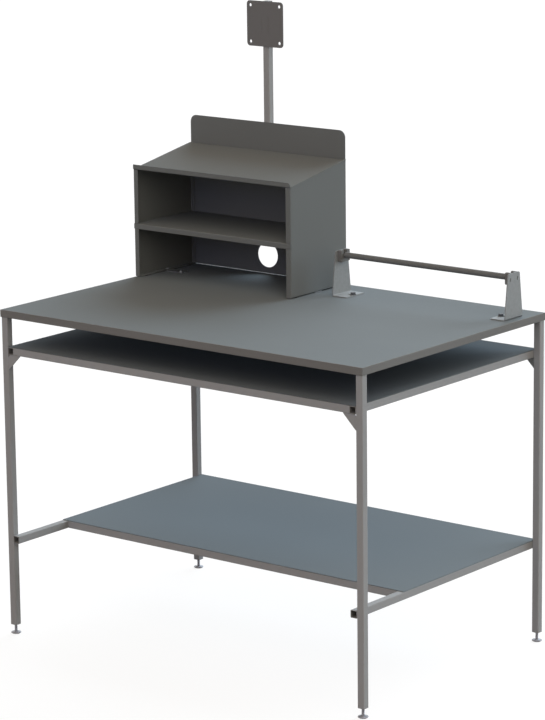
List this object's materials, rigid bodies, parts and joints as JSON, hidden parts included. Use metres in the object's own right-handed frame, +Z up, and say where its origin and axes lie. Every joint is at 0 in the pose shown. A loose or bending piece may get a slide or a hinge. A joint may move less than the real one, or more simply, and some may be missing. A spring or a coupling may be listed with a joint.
{
  "type": "operator desk",
  "caption": "Steel-tube operator desk with a flat worktop, two shelves, a pigeonhole unit with a sloped document rest, a screen plate on a pole and a roll holder.",
  "frame": {"origin": "on the floor under the middle of the whole desk's bounding box", "axes": "+X to the right as the operator sits, +Y to the back of the desk, +Z up"},
  "size_m": [1.203, 0.8386, 1.6575],
  "materials": {
    "laminate": "grey laminate on board, fine matt grain",
    "edge_band": "grey-brown edge band",
    "tube_paint": "grey powder coat on tube",
    "shelf_paint": "grey powder coat on sheet",
    "unit_paint": "dark grey powder coat on folded sheet",
    "plate_paint": "dark grey powder coat",
    "bracket_steel": "galvanised sheet",
    "bar_steel": "dark grey bar",
    "dark_plastic": "dark moulded plastic",
    "insert_plastic": "black moulded plastic",
    "zinc": "bright zinc plate",
    "dull_zinc": "dull grey zinc plate",
    "pad_rubber": "black rubber"
  },
  "bodies": {
    "desk": {"desktop_board": "laminate", "desktop_edge_bands": "edge_band", "leg_front_left": "tube_paint", "leg_front_right": "tube_paint", "leg_rear_left": "tube_paint", "leg_rear_right": "tube_paint", "mid_rail_left": "tube_paint", "mid_rail_right": "tube_paint", "mid_rail_front": "tube_paint", "mid_rail_rear": "tube_paint", "lower_rail_left": "tube_paint", "lower_rail_right": "tube_paint", "lower_rail_front": "tube_paint", "lower_rail_rear": "tube_paint", "gusset_front_left": "tube_paint", "gusset_front_right": "tube_paint", "gusset_rear_left": "tube_paint", "gusset_rear_right": "tube_paint", "screen_pole": "tube_paint", "mid_shelf_panel": "shelf_paint", "lower_shelf_panel": "shelf_paint", "unit_side_left": "unit_paint", "unit_side_right": "unit_paint", "unit_back_panel": "unit_paint", "unit_mid_shelf": "unit_paint", "unit_top_sheet": "unit_paint", "pole_saddles": "plate_paint", "roll_bracket_left": "bracket_steel", "roll_bracket_right": "bracket_steel", "roll_saddle_left": "dark_plastic", "roll_saddle_right": "dark_plastic", "pole_caps": "dark_plastic", "leg_top_inserts": "insert_plastic", "leg_bottom_inserts": "insert_plastic", "leg_top_studs": "zinc", "unit_fixing_feet": "zinc", "unit_fixing_screws": "zinc", "pole_studs": "zinc", "pole_saddle_nuts": "zinc", "roll_bracket_bolts": "dull_zinc", "roll_bracket_washers": "dull_zinc", "roll_bracket_nuts": "dull_zinc", "unit_pads": "pad_rubber"},
    "foot_front_left_body": {"foot_front_left": "dull_zinc", "foot_pad_front_left": "pad_rubber"},
    "foot_front_right_body": {"foot_front_right": "dull_zinc", "foot_pad_front_right": "pad_rubber"},
    "foot_rear_left_body": {"foot_rear_left": "dull_zinc", "foot_pad_rear_left": "pad_rubber"},
    "foot_rear_right_body": {"foot_rear_right": "dull_zinc", "foot_pad_rear_right": "pad_rubber"},
    "screen_mount": {"screen_plate": "plate_paint", "screen_clamp_strap": "plate_paint", "screen_clamp_nut": "zinc", "screen_clamp_bolt": "zinc"},
    "roll_plugs": {"roll_bar_plugs": "insert_plastic"},
    "roll_tube": {"roll_bar_tube": "bar_steel"}
  },
  "joints": [
    {"name": "foot_level_front_left", "type": "slide", "parent": "desk", "child": "foot_front_left_body", "axis": [0, 0, 1], "range_m": [-0.015, 0.018]},
    {"name": "foot_level_front_right", "type": "slide", "parent": "desk", "child": "foot_front_right_body", "axis": [0, 0, 1], "range_m": [-0.015, 0.018]},
    {"name": "foot_level_rear_left", "type": "slide", "parent": "desk", "child": "foot_rear_left_body", "axis": [0, 0, 1], "range_m": [-0.015, 0.018]},
    {"name": "foot_level_rear_right", "type": "slide", "parent": "desk", "child": "foot_rear_right_body", "axis": [0, 0, 1], "range_m": [-0.015, 0.018]},
    {"name": "screen_height", "type": "slide", "parent": "desk", "child": "screen_mount", "axis": [0, 0, 1], "range_m": [-0.2, 0.04]},
    {"name": "roll_lift", "type": "slide", "parent": "desk", "child": "roll_plugs", "axis": [0, 0, 1], "range_m": [0, 0.06]},
    {"name": "roll_spin", "type": "hinge", "parent": "roll_plugs", "child": "roll_tube", "pos_m": [0.29575, 0.26922, 1.006], "axis": [1, 0, 0], "continuous": true}
  ]
}
